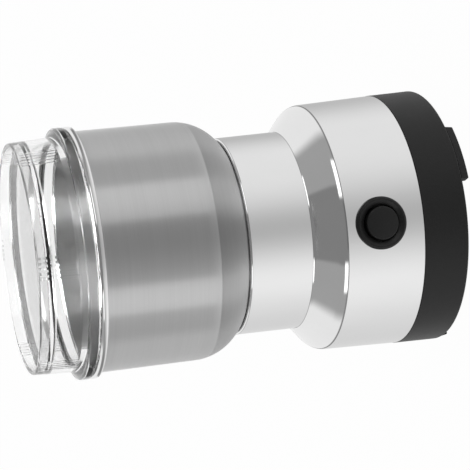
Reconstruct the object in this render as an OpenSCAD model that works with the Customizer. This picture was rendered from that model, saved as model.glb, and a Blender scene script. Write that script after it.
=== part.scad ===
// Electric spice grinder: a steel bowl with a clear lid on a polished motor housing.
// It stands upright on its feet: +Z is up, the button faces -Y, the cord enters at +Y.
// The origin lies on the axis, on the surface that the feet stand on.

/* [Feet] */
// Height of a foot under the base
foot_h = 2.9; // [2.5:0.1:6]
// Width of a foot, measured towards the axis
foot_w = 4.6; // [3.6:0.2:5]
// Arc of a foot round the base, in degrees
foot_arc = 27; // [15:1:40]
// Turn of the first foot from the button, in degrees
foot_turn = 29; // [24:1:34]
// Depth of the groove in the base that a foot sits in
foot_groove = 1.2; // [0.8:0.1:1.6]

/* [Base] */
// Diameter of the base at its lower edge
base_d = 96.2; // [95.4:0.1:98]
// Height of the black side wall
base_h = 16.8; // [14:0.2:22]
// Thickness of the side wall
base_wall = 2.8; // [2.4:0.1:3.2]
// Thickness of the floor
base_floor_t = 2.6; // [2.2:0.1:3.6]
// Height of the spigot that centres the housing
spigot_h = 3; // [2:0.5:4]
// Thickness of the spigot
spigot_t = 1.6; // [1.2:0.1:2]
// Number of vent slots in the floor
vent_count = 20; // [12:1:22]
// Width of a vent slot
vent_w = 2; // [1.2:0.1:2.4]
// Length of a vent slot
vent_l = 12; // [8:0.5:13]

/* [Housing] */
// Diameter of the polished housing at the base
housing_d = 95.2; // [95:0.1:95.6]
// Diameter at the sharp corner of the shoulder, before its rounding
shoulder_d = 93; // [91:0.2:94.6]
// Height of that corner above the base
shoulder_h = 30.8; // [30:0.2:40]
// Rounding of the shoulder
shoulder_round = 5; // [4:0.5:8]
// Slope of the cone, in degrees
cone_angle = 40; // [34:1:46]
// Rounding where the cone meets the neck
cove_round = 1.5; // [1:0.5:5]
// Diameter of the neck at the cone
neck_d = 74.6; // [74.2:0.2:76]
// Diameter of the neck at its lip
neck_top_d = 74; // [73.4:0.2:74.4]
// Height of the lip above the shoulder's corner
neck_h = 32; // [30.5:0.5:41]
// Rounding of the lip
lip_round = 0.8; // [0.4:0.1:1]
// Thickness of the housing's wall
housing_wall = 2; // [1.6:0.1:2.2]
// Thickness of the deck that the bowl sits on
deck_t = 2.7; // [2:0.1:3.4]

/* [Bowl] */
// Outer diameter of the bowl's wall
bowl_d = 89; // [88:0.2:92]
// Height of the bowl, rim included
bowl_h = 59.2; // [50:0.5:70]
// Outer radius of the curved bottom
bowl_round = 19; // [17:0.5:19.5]
// Thickness of the steel
bowl_wall = 0.7; // [0.5:0.1:1]
// How far the rolled rim stands out from the wall
rim_out = 1.9; // [1.4:0.1:2.4]
// Height of the rolled rim
rim_h = 2.8; // [2.4:0.2:4]

/* [Lid] */
// Height of the lid above the bowl's rim
lid_h = 20.4; // [17:0.2:28]
// Diameter of the lid's wall above the flange
lid_wall_d = 86.2; // [85:0.2:87.6]
// Diameter of the lid at its top edge
lid_top_d = 84.6; // [83:0.2:85]
// Thickness of the lid's wall
lid_wall = 1.5; // [1.3:0.1:2.4]
// Height of the lid's flange
lid_flange_h = 4; // [3:0.2:5]
// How far the top plate lies below the rim
lid_recess = 3.6; // [2:0.2:5]
// Thickness of the top plate
lid_plate_t = 1.5; // [1.3:0.1:2.6]
// Depth of the skirt inside the bowl
skirt_h = 7.8; // [5:0.2:11]
// Clearance between the skirt and the bowl
skirt_gap = 0.35; // [0.25:0.05:0.6]
// Groups of grip ribs round the lid
grip_groups = 6; // [4:1:8]
// Ribs in a group
grip_ribs = 5; // [3:1:8]
// Step from one rib to the next
grip_step = 1.8; // [1.4:0.1:2.4]
// Width of a rib
grip_w = 0.9; // [0.5:0.1:1.2]
// How far a rib stands out
grip_out = 0.35; // [0.2:0.05:0.5]

/* [Motor] */
// Diameter of the shaft
shaft_d = 6; // [5:0.5:6.5]
// Clearance of the shaft in its bearings
bearing_gap = 0.04; // [0.02:0.01:0.08]
// Outer diameter of a bearing
bearing_d = 13; // [11.5:0.5:14]
// Height of a bearing
bearing_h = 6; // [4:0.5:6.5]
// Diameter of the armature
armature_d = 32.6; // [31:0.2:33]
// Height of the laminated cores
stack_h = 20; // [16:1:22]
// Air gap between armature and stator
air_gap = 0.6; // [0.4:0.1:0.8]
// Slots in the armature
slot_count = 12; // [10:1:12]
// Width of the stator across its coils
stator_w = 60; // [58:1:61]
// Depth of the stator
stator_l = 50; // [48:1:51]
// Height of the field coils' turns beyond the core
coil_over = 5; // [4:0.5:6]
// Thickness of the coils, across the winding
coil_t = 5; // [4:0.25:5.2]
// Diameter of the commutator
commutator_d = 20; // [17:0.5:22]
// Bars of the commutator
commutator_bars = 12; // [8:1:16]
// Thickness of the motor brackets
bracket_t = 2; // [1.5:0.1:3]
// Length of the posts from the core to the top bracket
top_post_l = 12.3; // [11.5:0.1:14]
// Length of the posts from the core to the bottom bracket
low_post_l = 19; // [18:0.5:20]
// Diameter of the bolts that clamp the motor
bolt_d = 3.6; // [3:0.1:4]
// Height of the rubber mounts under the deck
mount_h = 3.2; // [2.6:0.1:5]
// Diameter of a rubber mount
mount_d = 10; // [9:0.5:11]
// Diameter of the cooling fan
fan_d = 47; // [40:1:48]
// Height of the cooling fan
fan_h = 7; // [5:0.5:7.5]
// Blades of the fan
fan_blades = 9; // [6:1:12]

/* [Blade] */
// Span of the blade
blade_span = 60; // [40:1:70]
// Width of the blade
blade_w = 11; // [8:0.5:14]
// Thickness of the blade
blade_t = 1.5; // [1:0.1:2]
// Height of the blade above the bowl's floor
blade_lift = 9; // [8:0.5:14]
// Pitch of the wings, in degrees
blade_pitch = 14; // [6:1:18]

/* [Button] */
// Height of the button's centre above the base
button_up = 16.1; // [15.6:0.1:16.6]
// Outer diameter of the bezel
bezel_d = 19; // [18:0.2:21]
// How far the bezel stands out from the housing
bezel_out = 1.2; // [1:0.1:1.3]
// Diameter of the button cap
cap_d = 12; // [10:0.2:12.4]
// How far the cap stands out beyond the bezel
cap_proud = 1; // [0.6:0.1:1.4]
// Clearance round the cap
cap_gap = 0.3; // [0.2:0.05:0.4]
// Travel of the button
button_travel = 2; // [1.5:0.1:2.2]
// Width of the switch
switch_w = 10; // [9:0.5:10.5]
// Depth of the switch
switch_l = 9; // [8:0.2:9.6]
// Height of the switch
switch_h = 12; // [11:0.5:12.5]

/* [Electrics] */
// Outer diameter of the cord's bush
bush_d = 8.6; // [7.6:0.1:9]
// Bore of the bush
bush_bore_d = 6; // [5:0.1:6.4]
// Diameter of the wires inside
wire_d = 1.8; // [1.2:0.1:1.9]

/* [Hidden] */

// Steps of a full circle, and of a quarter round in an outline
$fn = 72;
round_steps = 6;
// Clearances: pieces that rest on each other, pressed pieces, screws in their holes
seat_gap = 0.2;
press_gap = 0.02;
screw_gap = 0.25;
// Overrun of a cut past the face that it opens
over = 1;

// Radii of the main bodies
base_r = base_d / 2;
base_draft = 0.4;
base_top_r = base_r - base_draft;
base_in_r = base_r - base_wall;
base_edge = 0.8;
housing_r = housing_d / 2;
shoulder_r = shoulder_d / 2;
neck_r = neck_d / 2;
neck_top_r = neck_top_d / 2;
neck_in_r = neck_top_r - housing_wall;
bowl_r = bowl_d / 2;
bowl_in_r = bowl_r - bowl_wall;
bowl_flat_r = bowl_r - bowl_round;

// Height of the bowl's curved underside over its flat bottom, at a distance from the axis
function bowl_rise(r) = bowl_round - sqrt(pow(bowl_round, 2) - pow(r - bowl_flat_r, 2));

// Levels from the floor up
z_base = foot_h;
z_floor = z_base + base_floor_t;
z_band = z_base + base_h;
z_shoulder = z_band + shoulder_h;
z_cove = z_shoulder + (shoulder_r - neck_r) * tan(cone_angle);
z_lip = z_shoulder + neck_h;
z_bowl = z_lip + seat_gap - bowl_rise(neck_top_r - lip_round);
z_bowl_floor = z_bowl + bowl_wall;
z_rim = z_bowl + bowl_h;
z_lid = z_rim + seat_gap;
z_lid_top = z_lid + lid_h;
z_deck = z_bowl - seat_gap;
z_button = z_band + button_up;

// Levels of the motor, hung under the deck
z_mount = z_deck - deck_t - mount_h;
z_bracket = z_mount - bracket_t;
z_stack_top = z_bracket - top_post_l;
z_stack = z_stack_top - stack_h;
z_low_bracket_top = z_stack - low_post_l;
z_low_bracket = z_low_bracket_top - bracket_t;
pocket_wall = 2.2;
pocket_r = bearing_d / 2 + pocket_wall;
pocket_end = 0.5;
pocket_h = bearing_h + pocket_end;
washer_t = 0.6;
fan_gap = washer_t + 2 * seat_gap;
z_fan_top = z_low_bracket - fan_gap;
z_fan = z_fan_top - fan_h;
z_shaft = z_fan - seat_gap;
z_blade = z_bowl_floor + blade_lift;
spacer_h = 2;
nut_h = 4;
shaft_tip = 0.6;
shaft_r = shaft_d / 2;
thread_share = 0.8;
thread_r = shaft_r * thread_share;
z_shaft_top = z_blade + blade_t + seat_gap + nut_h + shaft_tip;
wind_over = 4.8;
wind_gap = 0.4;
clip_space = 1;
z_commutator = z_low_bracket + pocket_h + clip_space;
z_commutator_top = z_stack - wind_over - wind_gap;
z_brush = (z_commutator + z_commutator_top) / 2;

// Fasteners
screw_d = 4;
screw_head_d = 7.4;
screw_head_h = 2.2;
screw_tip = 1;
bowl_screw_r = 17.5;
bowl_screw_count = 3;
base_screw_r = 38.4;
base_screw_count = 4;
base_screw_d = 3.4;
base_head_d = 6.4;
base_head_h = 2.2;
base_post_d = 9.2;
post_rise = 1;
base_post_top = z_band + spigot_h + post_rise;
boss_h = 12;
boss_top = base_post_top + boss_h;
boss_cap = 0.5;
bolt_head_d = 6;
bolt_head_h = 2;
bolt_x_inset = 9;
bolt_y_inset = 6;
bolt_x = stator_w / 2 - bolt_x_inset;
bolt_y = stator_l / 2 - bolt_y_inset;
post_d = 6.4;

// Outline helpers: each corner of an outline is [r, z, rounding]
function unit(v) = v / norm(v);
function cross2(u, v) = u[0] * v[1] - u[1] * v[0];
function turned(v, a) = [v[0] * cos(a) - v[1] * sin(a), v[0] * sin(a) + v[1] * cos(a)];
function flat(p) = [p[0], p[1]];
function fillet(a, b, c, r) =
    let (u = unit(a - b), v = unit(c - b), angle = acos(u * v))
    let (reach = r / tan(angle / 2), centre = b + unit(u + v) * r / sin(angle / 2))
    let (from = b + u * reach - centre, to = b + v * reach - centre)
    let (sweep = sign(cross2(from, to)) * (180 - angle))
    [for (i = [0:round_steps]) centre + turned(from, sweep * i / round_steps)];
function corner(p, i) =
    let (n = len(p), here = p[i])
    here[2] == 0 ? [flat(here)]
        : fillet(flat(p[(i + n - 1) % n]), flat(here), flat(p[(i + 1) % n]), here[2]);
function rounded(p) = [for (i = [0:len(p) - 1]) each corner(p, i)];

module revolved(p) {
    rotate_extrude()
        polygon(rounded(p));
}
module ring(r_out, r_in, h) {
    difference() {
        cylinder(r = r_out, h = h);
        translate([0, 0, -over])
            cylinder(r = r_in, h = h + 2 * over);
    }
}
module around(count, first = 0) {
    for (i = [0:count - 1])
        rotate([0, 0, first + i * 360 / count])
            children();
}
// Puts a piece on the button's axis: its +Z points into the housing, its zero is the bezel's face
module at_button() {
    translate([0, -housing_r_at(z_button) - bezel_out, z_button])
        rotate([-90, 0, 0])
            children();
}
// Puts a piece on the cord's axis: its +Z points out of the rear wall, its zero is the inner face
module at_cord() {
    translate([0, cord_y, z_cord])
        rotate([-90, 0, 0])
            children();
}
function housing_r_at(z) = housing_r + (shoulder_r - housing_r) * (z - z_band) / shoulder_h;

// Three feet, each an arc with a tongue that sits in a groove of the base
foot_out = 0.35;
foot_taper = 0.5;
foot_r = base_r - foot_out;
tongue_inset = 0.9;
tongue_h = foot_groove - seat_gap;
feet_count = 3;
foot_first = -90 + foot_turn - foot_arc / 2;
module foot_section(inset, depth) {
    polygon([[foot_r - foot_w + foot_taper, 0], [foot_r - foot_taper, 0], [foot_r, z_base - seat_gap],
        [foot_r - inset, z_base - seat_gap], [foot_r - inset, z_base + depth],
        [foot_r - foot_w + inset, z_base + depth], [foot_r - foot_w + inset, z_base - seat_gap],
        [foot_r - foot_w, z_base - seat_gap]]);
}
module feet() {
    color("#262626")
        around(feet_count, foot_first)
            rotate_extrude(angle = foot_arc)
                foot_section(tongue_inset, tongue_h);
}

// Black base: side wall, floor with vents, posts for the screws, hole for the bush
spigot_out_r = housing_r - housing_wall - seat_gap;
spigot_in_r = spigot_out_r - spigot_t;
spigot_root = 3;
cord_y = base_in_r;
z_cord = z_floor + (base_h - base_floor_t - spigot_root) / 2;
vent_in_r = 12;
groove_gap_angle = 0.4;
screw_seat = 2.4;
module foot_grooves() {
    around(feet_count, foot_first - groove_gap_angle)
        rotate_extrude(angle = foot_arc + 2 * groove_gap_angle)
            translate([foot_r - foot_w + tongue_inset - seat_gap, z_base - over])
                square([foot_w - 2 * tongue_inset + 2 * seat_gap, foot_groove + over]);
}
module base_cover() {
    color("#2b2b2b")
        difference() {
            union() {
                revolved([[0, z_base, 0], [base_r, z_base, base_edge], [base_top_r, z_band, 0],
                    [spigot_out_r, z_band, 0], [spigot_out_r, z_band + spigot_h, 0],
                    [spigot_in_r, z_band + spigot_h, 0], [spigot_in_r, z_band - spigot_root + spigot_t, 0],
                    [base_in_r, z_band - spigot_root, 0], [base_in_r, z_floor, 0], [0, z_floor, 0]]);
                around(base_screw_count, 45)
                    translate([base_screw_r, 0, z_base + base_floor_t / 2])
                        cylinder(d = base_post_d, h = base_post_top - z_base - base_floor_t / 2);
            }
            around(base_screw_count, 45)
                translate([base_screw_r, 0, 0]) {
                    cylinder(d = base_head_d + 2 * screw_gap, h = z_base + screw_seat + base_head_h);
                    cylinder(d = base_screw_d + 2 * screw_gap, h = base_post_top + over);
                }
            foot_grooves();
            around(vent_count)
                translate([vent_in_r, -vent_w / 2, z_base - over])
                    cube([vent_l, vent_w, base_floor_t + 2 * over]);
            at_cord()
                translate([0, 0, -over])
                    cylinder(d = bush_d + 2 * screw_gap, h = base_wall + 2 * over);
        }
}
module base_screws() {
    head_z = z_base + screw_seat;
    color("#8c8c8c")
        around(base_screw_count, 45)
            translate([base_screw_r, 0, head_z]) {
                difference() {
                    cylinder(d = base_head_d, h = base_head_h - seat_gap);
                    translate([0, 0, -over])
                        cylinder(d = base_head_d / 2, h = base_head_h / 2 + over, $fn = 6);
                }
                cylinder(d = base_screw_d, h = boss_top - head_z - 2 * boss_cap);
            }
}

// Bush in the rear wall that the mains cord passes through
bush_flange = 0.7;
bush_flange_t = 1.4;
bush_mouth = 0.6;
module cord_bush() {
    bush_r = bush_d / 2;
    bore_r = bush_bore_d / 2;
    flange_r = bush_r + bush_flange;
    z0 = -bush_flange_t - seat_gap;
    z1 = base_wall - base_draft - bush_mouth;
    color("#1f1f1f")
        at_cord()
            revolved([[bore_r, z0, 0], [flange_r, z0, 0], [flange_r, z0 + bush_flange_t / 2, 0],
                [bush_r, -seat_gap, 0], [bush_r, z1, bush_mouth / 2], [bore_r, z1, bush_mouth]]);
}

// Polished housing: one shell with the deck for the bowl and bosses for the base's screws
parting_gap = 0.15;
boss_d = 8;
deck_hole_gap = 2.6;
deck_hole_r = pocket_r + deck_hole_gap;
web_t = 3;
module housing_shell() {
    in_step = housing_wall * tan((90 - cone_angle) / 2);
    web_z = base_post_top + seat_gap;
    web_out = housing_wall / 2 + base_screw_r;
    color("#d9dadc")
        difference() {
            union() {
                revolved([[housing_r, z_band + parting_gap, 0], [shoulder_r, z_shoulder, shoulder_round],
                    [neck_r, z_cove, cove_round], [neck_top_r, z_lip, lip_round],
                    [neck_in_r, z_bowl + bowl_rise(neck_in_r) - seat_gap, 0], [neck_in_r, z_deck, 0],
                    [deck_hole_r, z_deck, 0], [deck_hole_r, z_deck - deck_t, 0],
                    [neck_in_r, z_deck - deck_t, 0],
                    [neck_r - housing_wall, z_cove - in_step, 0],
                    [shoulder_r - housing_wall, z_shoulder - in_step, shoulder_round - housing_wall],
                    [housing_r - housing_wall, z_band + parting_gap, 0]]);
                around(base_screw_count, 45)
                    translate([base_screw_r, 0, web_z]) {
                        cylinder(d = boss_d, h = boss_h);
                        rotate([90, 0, 0])
                            translate([0, 0, -web_t / 2])
                                linear_extrude(web_t)
                                    polygon([[0, 0], [housing_r_at(web_z) - web_out, 0],
                                        [housing_r_at(web_z + boss_h) - web_out, boss_h], [0, boss_h]]);
                    }
            }
            around(base_screw_count, 45)
                translate([base_screw_r, 0, 0])
                    cylinder(d = base_screw_d + press_gap, h = boss_top - boss_cap);
            around(bowl_screw_count, 90)
                translate([bowl_screw_r, 0, z_deck - deck_t - over])
                    cylinder(d = screw_d + 2 * screw_gap, h = deck_t + 2 * over);
            at_button()
                cylinder(d = sleeve_d + 2 * press_gap, h = bezel_out + 2 * housing_wall + over);
        }
}

// Steel bowl with a curved bottom, a rolled rim and holes for the shaft and its screws
bowl_hole_inset = 1.4;
bowl_hole_r = pocket_r - bowl_hole_inset;
rim_round = 1.1;
module bowl() {
    rim_r = bowl_r + rim_out;
    bowl_in_round = bowl_round - bowl_wall;
    color("#b9babc")
        difference() {
            revolved([[bowl_hole_r, z_bowl, 0], [bowl_r, z_bowl, bowl_round], [bowl_r, z_rim - rim_h, 0],
                [rim_r, z_rim - rim_h, rim_round], [rim_r, z_rim, rim_round], [bowl_in_r, z_rim, bowl_wall],
                [bowl_in_r, z_bowl_floor, bowl_in_round], [bowl_hole_r, z_bowl_floor, 0]]);
            around(bowl_screw_count, 90)
                translate([bowl_screw_r, 0, z_bowl - over])
                    cylinder(d = screw_d + 2 * screw_gap, h = bowl_wall + 2 * over);
        }
}
gasket_inset = 4;
gasket_wall_gap = 0.5;
gasket_in_r = bowl_flat_r + gasket_inset;
gasket_out_r = neck_in_r - gasket_wall_gap;
module bowl_gasket() {
    z0 = z_deck + seat_gap;
    color("#202020")
        rotate_extrude()
            polygon([[gasket_in_r, z0], [gasket_out_r, z0],
                [gasket_out_r, z_bowl + bowl_rise(gasket_out_r) - seat_gap],
                [gasket_in_r, z_bowl + bowl_rise(gasket_in_r) - seat_gap]]);
}
module bowl_screws() {
    color("#c8c8c8")
        around(bowl_screw_count, 90)
            translate([bowl_screw_r, 0, z_bowl_floor + seat_gap]) {
                difference() {
                    cylinder(d = screw_head_d, h = screw_head_h);
                    translate([0, 0, screw_head_h / 2])
                        cylinder(d = screw_d, h = screw_head_h, $fn = 6);
                }
                translate([0, 0, z_bracket - z_bowl_floor - screw_tip])
                    cylinder(d = screw_d, h = z_bowl_floor - z_bracket + screw_tip + screw_head_h / 4);
            }
}
seal_flange = 3;
seal_flange_t = 1.4;
seal_hub = 2.8;
seal_top_gap = 0.7;
z_seal_top = z_blade - spacer_h - seal_top_gap;
module shaft_seal() {
    z0 = z_bowl - pocket_end;
    z1 = z_bowl_floor + seat_gap;
    bore_r = shaft_r + 2 * bearing_gap;
    stem_r = bowl_hole_r - seat_gap;
    color("#2a2a2a")
        revolved([[bore_r, z0, 0], [stem_r, z0, 0], [stem_r, z1, 0], [stem_r + seal_flange, z1, 0],
            [stem_r + seal_flange, z1 + seal_flange_t, seal_flange_t / 2],
            [shaft_r + seal_hub, z1 + 2 * seal_flange_t, 0], [shaft_r + seal_hub / 2, z_seal_top, 0],
            [bore_r, z_seal_top, 0]]);
}

// Clear lid: rim, recessed plate, wall with grip ribs, flange, and a skirt inside the bowl
lid_rim_round = 0.8;
flange_round = 1.4;
flange_rise = 2;
flange_inset = 0.1;
grip_turn = 4;
grip_end = 1;
module lid() {
    flange_r = bowl_r + rim_out - flange_inset;
    skirt_r = bowl_in_r - skirt_gap;
    wall_r = lid_wall_d / 2;
    top_r = lid_top_d / 2;
    z_wall = z_lid + lid_flange_h + flange_rise;
    z_plate = z_lid_top - lid_recess;
    color("#dfe6ea", 0.4)
        union() {
            revolved([[0, z_plate, 0], [top_r - lid_wall, z_plate, 0],
                [top_r - lid_wall, z_lid_top, lid_rim_round], [top_r, z_lid_top, lid_rim_round],
                [wall_r, z_wall, flange_rise / 2],
                [wall_r + flange_rise, z_lid + lid_flange_h, 0],
                [flange_r, z_lid + lid_flange_h, flange_round], [flange_r, z_lid, flange_round / 2],
                [skirt_r, z_lid, 0], [skirt_r, z_lid - skirt_h, lid_wall / 3],
                [skirt_r - lid_wall, z_lid - skirt_h, lid_wall / 3], [skirt_r - lid_wall, z_lid, 0],
                [top_r - lid_wall, z_plate - lid_plate_t, lid_wall / 2], [0, z_plate - lid_plate_t, 0]]);
            around(grip_groups, -90 - grip_turn)
                for (i = [0:grip_ribs - 1])
                    rotate([0, 0, (i - (grip_ribs - 1) / 2) * grip_step * 360 / (PI * lid_wall_d)])
                        grip_rib(wall_r, top_r, z_wall - flange_rise / 2);
        }
}
// One rib, whose foot is sunk in the slope of the flange
module grip_rib(wall_r, top_r, z_foot) {
    z_end = z_lid_top - lid_rim_round;
    rotate([90, 0, 0])
        translate([0, 0, -grip_w / 2])
            linear_extrude(grip_w)
                polygon([[wall_r - grip_out, z_foot], [wall_r + grip_out / 3, z_foot],
                    [wall_r + grip_out, z_foot + grip_end], [top_r + grip_out, z_end - grip_end],
                    [top_r + grip_out / 3, z_end], [top_r - grip_out, z_end]]);
}

// Button: a bezel with its sleeve and switch arms, the cap, its spring and the switch
sleeve_inset = 1.5;
sleeve_d = bezel_d - 2 * sleeve_inset;
bezel_edge = 0.15;
bezel_round = 0.9;
dish_d = 0.9;
lip_l = 3.2;
shoulder_t = 1.5;
collar_out = 1;
stem_d = 4;
cap_crown = 0.25;
cap_front = cap_crown - cap_proud;
cap_crown_share = 0.7;
cap_edge = 0.3;
cap_shoulder = lip_l + cap_gap;
cap_back = cap_shoulder + shoulder_t;
plunger_out = button_travel + seat_gap;
spring_room = 6.4;
switch_front = cap_back + spring_room;
stem_end = switch_front - plunger_out - seat_gap;
arm_t = 1.6;
arm_h = 6;
hook_l = 1;
arm_root = 1;
module button_bezel() {
    lip_r = cap_d / 2 + cap_gap;
    collar_r = cap_d / 2 + collar_out + cap_gap;
    arm_x = switch_w / 2 + seat_gap / 2;
    color("#242424") {
        difference() {
            at_button()
                revolved([[lip_r, dish_d, bezel_edge], [bezel_d / 2 - bezel_round, 0, bezel_round / 2],
                    [bezel_d / 2, bezel_round, bezel_round / 2], [bezel_d / 2, bezel_out + housing_wall, 0],
                    [lip_r, bezel_out + housing_wall, 0]]);
            revolved([[0, z_band, 0], [housing_r + seat_gap / 2, z_band, 0],
                [shoulder_r + seat_gap / 2, z_shoulder, 0], [0, z_shoulder, 0]]);
        }
        at_button() {
            difference() {
                translate([0, 0, bezel_out / 2])
                    cylinder(d = sleeve_d, h = switch_front - seat_gap - bezel_out / 2);
                translate([0, 0, -over])
                    cylinder(r = lip_r, h = switch_front + over);
                translate([0, 0, lip_l])
                    cylinder(r = collar_r, h = switch_front);
            }
            for (side = [-1, 1])
                on_side(side) {
                    translate([arm_x, -arm_h / 2, switch_front - arm_root])
                        cube([arm_t, arm_h, arm_root + switch_l + seat_gap]);
                    translate([arm_x - hook_l, -arm_h / 2, switch_front + switch_l + seat_gap])
                        cube([arm_t + hook_l, arm_h, hook_l]);
                }
        }
    }
}
module on_side(side) {
    mirror([side < 0 ? 1 : 0, 0, 0])
        children();
}
module button_cap() {
    cap_r = cap_d / 2;
    color("#2c2c2c")
        at_button()
            revolved([[0, cap_front - cap_crown, 0], [cap_r * cap_crown_share, cap_front - cap_crown / 2, 0],
                [cap_r, cap_front + cap_edge, cap_edge / 2], [cap_r, cap_shoulder, 0],
                [cap_r + collar_out, cap_shoulder, 0], [cap_r + collar_out, cap_back, 0],
                [stem_d / 2, cap_back, 0], [stem_d / 2, stem_end, 0], [0, stem_end, 0]]);
}
spring_wire = 0.7;
spring_d = 8.6;
spring_turns = 5;
spring_steps = 12;
spring_sides = 6;
function coil_point(t, mean_r, rise) = [mean_r * cos(t * 360), mean_r * sin(t * 360), t * rise];
// One tube along a helix, closed at both ends
module helix(mean_r, wire_r, turns, rise, steps) {
    count = turns * steps;
    rings = [for (i = [0:count])
        let (t = i / steps, lean = atan(rise / (2 * PI * mean_r)))
        [for (k = [0:spring_sides - 1])
            let (a = k * 360 / spring_sides, out = wire_r * cos(a), up = wire_r * sin(a))
            coil_point(t, mean_r, rise) + [
                out * cos(t * 360) + up * sin(lean) * sin(t * 360),
                out * sin(t * 360) - up * sin(lean) * cos(t * 360),
                up * cos(lean)]]];
    points = [for (r = rings) each r];
    s = spring_sides;
    sides = [for (i = [0:count - 1], k = [0:s - 1])
        each [[i * s + k, (i + 1) * s + k, (i + 1) * s + (k + 1) % s],
            [i * s + k, (i + 1) * s + (k + 1) % s, i * s + (k + 1) % s]]];
    first = [for (k = [1:s - 2]) [0, k, k + 1]];
    last = [for (k = [1:s - 2]) [count * s, count * s + k + 1, count * s + k]];
    polyhedron(points = points, faces = concat(sides, first, last));
}
module button_spring() {
    length = switch_front - cap_back - 2 * seat_gap - 2 * spring_wire;
    color("#a8a8a8")
        at_button()
            translate([0, 0, cap_back + seat_gap + spring_wire])
                helix((spring_d - spring_wire) / 2, spring_wire / 2, spring_turns, length / spring_turns,
                    spring_steps);
}
plunger_d = 3;
plunger_in = 3.4;
plunger_top = 3;
module switch_body() {
    hole_d = plunger_d + 2 * press_gap + 2 * bearing_gap;
    color("#3a3a3a")
        at_button()
            difference() {
                translate([-switch_w / 2, -plunger_top, switch_front])
                    cube([switch_w, switch_h, switch_l]);
                translate([0, 0, switch_front - over])
                    cylinder(d = hole_d, h = over + plunger_in + button_travel + seat_gap);
            }
}
module switch_plunger() {
    color("#b33b2e")
        at_button()
            translate([0, 0, switch_front - plunger_out])
                cylinder(d = plunger_d, h = plunger_out + plunger_in);
}
tab_w = 3;
tab_t = 0.8;
tab_l = 3;
module switch_terminals() {
    color("#c9a24a")
        at_button()
            for (x = [-switch_w / 4, switch_w / 4])
                translate([x - tab_w / 2, switch_h - plunger_top + press_gap,
                    switch_front + switch_l / 2 - tab_t / 2])
                    cube([tab_w, tab_l, tab_t]);
}

// Turning parts of the motor
shaft_edge = 0.3;
module motor_shaft() {
    color("#cfd0d2")
        revolved([[0, z_shaft, 0], [shaft_r, z_shaft, shaft_edge], [shaft_r, z_blade, 0],
            [thread_r, z_blade, 0], [thread_r, z_shaft_top, shaft_edge], [0, z_shaft_top, 0]]);
}
slot_r = 1.9;
slot_depth = 1.9;
slot_at = armature_d / 2 - slot_r - slot_depth;
slot_mouth = 1.2;
module armature_core() {
    color("#8e9094")
        translate([0, 0, z_stack])
            linear_extrude(stack_h)
                difference() {
                    circle(d = armature_d);
                    circle(r = shaft_r + press_gap);
                    around(slot_count) {
                        translate([slot_at, 0])
                            circle(r = slot_r);
                        translate([slot_at, -slot_mouth / 2])
                            square([armature_d / 2, slot_mouth]);
                    }
                }
}
wind_sleeve = 2;
wind_inset = 1.8;
wind_round = 1.6;
module armature_windings() {
    wind_in_r = shaft_r + wind_sleeve;
    wind_out_r = armature_d / 2 - wind_inset;
    color("#b5622c")
        union() {
            around(slot_count)
                translate([slot_at, 0, z_stack - wind_over / 2])
                    cylinder(r = slot_r - seat_gap, h = stack_h + wind_over);
            for (z = [z_stack - wind_over, z_stack_top + seat_gap])
                translate([0, 0, z])
                    revolved([[wind_in_r, 0, wind_round], [wind_out_r, 0, wind_round],
                        [wind_out_r, wind_over - seat_gap, wind_round],
                        [wind_in_r, wind_over - seat_gap, wind_round]]);
        }
}
bar_gap = 0.6;
bar_depth = 0.8;
module commutator() {
    color("#c27c45")
        translate([0, 0, z_commutator])
            linear_extrude(z_commutator_top - z_commutator)
                difference() {
                    circle(d = commutator_d);
                    circle(r = shaft_r + press_gap);
                    around(commutator_bars)
                        translate([commutator_d / 2 - bar_depth, -bar_gap / 2])
                            square([2 * bar_depth, bar_gap]);
                }
}
fan_disc_t = 1.2;
fan_hub_d = 12;
fan_blade_t = 1.2;
module cooling_fan() {
    color("#d8d8d2")
        translate([0, 0, z_fan])
            difference() {
                union() {
                    cylinder(d = fan_d, h = fan_disc_t);
                    cylinder(d = fan_hub_d, h = fan_h);
                    around(fan_blades)
                        translate([fan_hub_d / 2 - fan_blade_t, -fan_blade_t / 2, fan_disc_t / 2])
                            cube([(fan_d - fan_hub_d) / 2, fan_blade_t, fan_h - fan_disc_t]);
                }
                translate([0, 0, -over])
                    cylinder(r = shaft_r + press_gap, h = fan_h + 2 * over);
            }
}
z_clip = z_low_bracket + pocket_h + seat_gap;
clip_t = clip_space - 2 * seat_gap;
clip_ring = 1.8;
module shaft_clip() {
    color("#6f7072")
        translate([0, 0, z_clip])
            difference() {
                ring(shaft_r + clip_ring, shaft_r + press_gap, clip_t);
                translate([0, -shaft_r / 2, -over])
                    cube([shaft_d, shaft_r, clip_t + 2 * over]);
            }
}
washer_inset = 1;
module thrust_washers() {
    washer_r = bearing_d / 2 - washer_inset;
    color("#b08a3e") {
        translate([0, 0, z_low_bracket - seat_gap - washer_t])
            ring(washer_r, shaft_r + press_gap, washer_t);
        translate([0, 0, z_bracket - seat_gap - washer_t])
            ring(washer_r, shaft_r + press_gap, washer_t);
    }
}

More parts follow.
